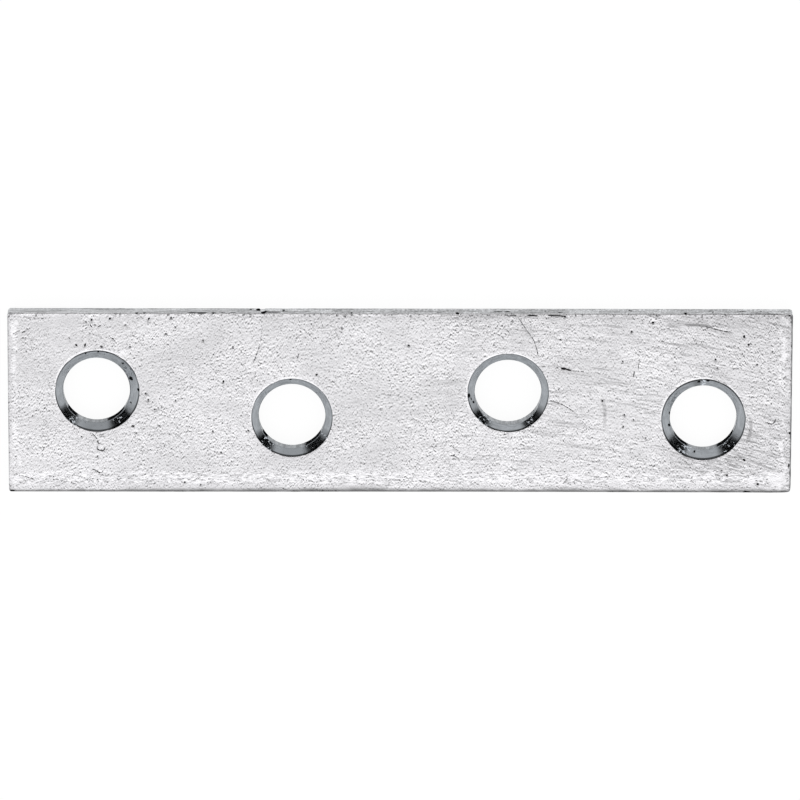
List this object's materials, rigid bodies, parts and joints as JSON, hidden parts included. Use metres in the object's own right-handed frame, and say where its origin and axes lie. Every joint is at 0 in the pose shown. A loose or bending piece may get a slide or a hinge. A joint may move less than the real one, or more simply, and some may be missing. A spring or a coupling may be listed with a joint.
{
  "type": "mending plate",
  "caption": "Flat steel mending plate with staggered countersunk screw holes, for joining or repairing timber end to end.",
  "frame": {"origin": "middle of the back face, which seats on the work", "axes": "+X along the plate, +Y across it towards the crisp long edge, +Z out of the countersunk front face"},
  "size_m": [0.0762, 0.0182, 0.0019],
  "materials": {
    "zinc_steel": "bright zinc coating on mild steel, fine-grained and lightly scuffed"
  },
  "bodies": {
    "root": {"plate": "zinc_steel"}
  },
  "joints": []
}
